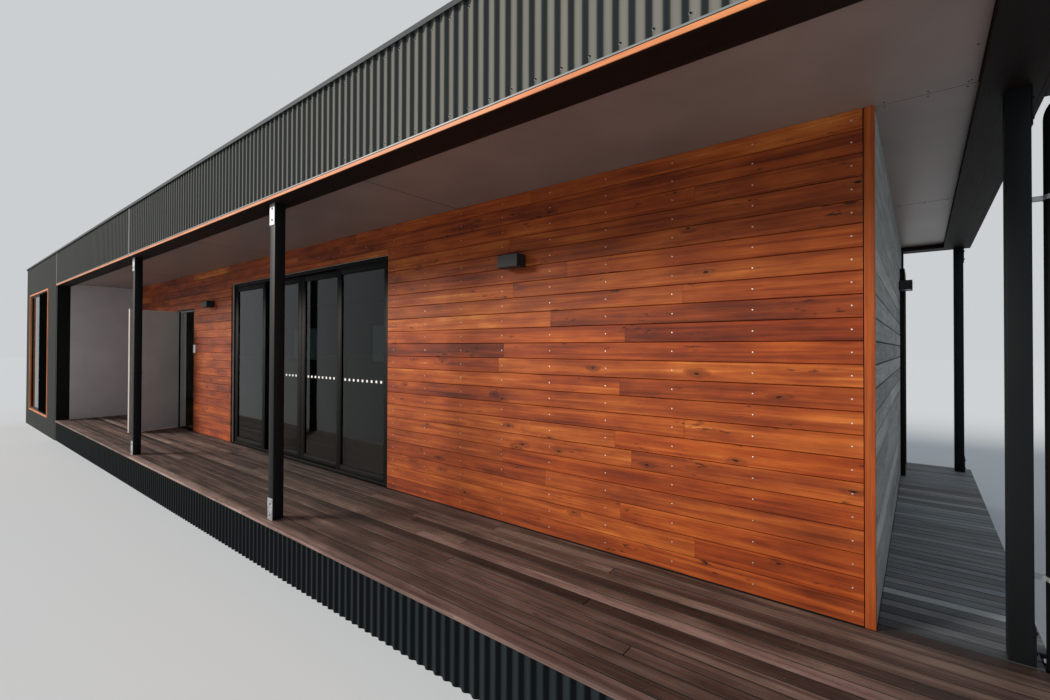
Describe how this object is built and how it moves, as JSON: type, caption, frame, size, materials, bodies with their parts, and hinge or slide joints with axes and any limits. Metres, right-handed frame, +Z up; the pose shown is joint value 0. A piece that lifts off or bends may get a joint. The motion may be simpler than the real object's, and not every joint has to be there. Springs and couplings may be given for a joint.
{
  "type": "single-storey beach house",
  "caption": "Long single-storey house with boarded front under a deep verandah roof, steel-clad wing, side deck, glazed sliding doors and an entry door that open.",
  "frame": {"origin": "centre of the bounding box at ground level", "axes": "+X along the front to the right, +Y from the front to the back, +Z up"},
  "size_m": [18.023, 6.318, 3.802],
  "materials": {
    "galvanised_steel": "dull spangled zinc",
    "floor_timber": "satin boards",
    "frame_steel": "satin dark paint",
    "deck_timber": "weathered hardwood boards",
    "corrugated_steel": "satin dark factory paint",
    "cladding_timber": "oiled hardwood boards",
    "lining_board": "flat white paint on board",
    "white_paint": "satin white paint",
    "black_powdercoat": "satin black powder coat",
    "dark_timber": "dark stained timber",
    "roof_steel": "satin grey factory paint",
    "soffit_sheet": "flat paint on fibre cement",
    "batten_timber": "oiled hardwood",
    "flashing_steel": "satin dark factory paint",
    "glass": "clear float glass",
    "satin_steel": "satin",
    "light_body": "textured dark powder coat",
    "white_plastic": "satin"
  },
  "bodies": {
    "house": {"stumps": "galvanised_steel", "floor": "floor_timber", "deck_frame": "frame_steel", "front_deck": "deck_timber", "side_deck": "deck_timber", "front_skirt": "corrugated_steel", "side_skirt": "corrugated_steel", "right_front_wall": "cladding_timber", "middle_front_wall": "cladding_timber", "left_front_wall": "cladding_timber", "head_walls": "cladding_timber", "side_wall": "cladding_timber", "rear_wall": "lining_board", "end_wall": "lining_board", "wing_front_wall": "lining_board", "wing_side_wall": "white_paint", "wing_nib": "black_powdercoat", "front_beam": "dark_timber", "side_beam": "dark_timber", "rear_beam": "dark_timber", "end_beam": "dark_timber", "roof": "roof_steel", "ceiling": "lining_board", "front_soffit": "soffit_sheet", "side_soffit": "soffit_sheet", "front_fascia": "corrugated_steel", "side_fascia": "corrugated_steel", "wing_cladding": "corrugated_steel", "end_cladding": "corrugated_steel", "rear_cladding": "corrugated_steel", "fascia_batten": "batten_timber", "joint_strips": "flashing_steel", "capping": "flashing_steel", "posts": "black_powdercoat", "post_plates": "galvanised_steel", "slider_frame": "black_powdercoat", "fixed_panels": "black_powdercoat", "fixed_glass": "glass", "entry_lining": "white_paint", "hinge_pins": "satin_steel", "tall_window": "black_powdercoat", "side_window": "black_powdercoat", "rear_windows": "black_powdercoat", "window_glass": "glass", "wall_lights": "light_body", "intercom": "white_plastic", "downpipe": "flashing_steel", "rainwater_head": "flashing_steel", "pipe_clamps": "galvanised_steel"},
    "entry_door": {"entry_leaf": "white_paint", "leaf_hinges": "satin_steel", "entry_handle": "satin_steel"},
    "left_sliding_door": {"left_panel": "black_powdercoat", "left_glass": "glass"},
    "right_sliding_door": {"right_panel": "black_powdercoat", "right_glass": "glass"}
  },
  "joints": [
    {"name": "entry_door_hinge", "type": "hinge", "parent": "house", "child": "entry_door", "pos_m": [-2.4755, -1.867, 1.4], "axis": [0, 0, 1], "range_deg": [-14, 76]},
    {"name": "left_door_slide", "type": "slide", "parent": "house", "child": "left_sliding_door", "axis": [-1, 0, 0], "range_m": [0, 0.92]},
    {"name": "right_door_slide", "type": "slide", "parent": "house", "child": "right_sliding_door", "axis": [1, 0, 0], "range_m": [0, 0.92]}
  ]
}
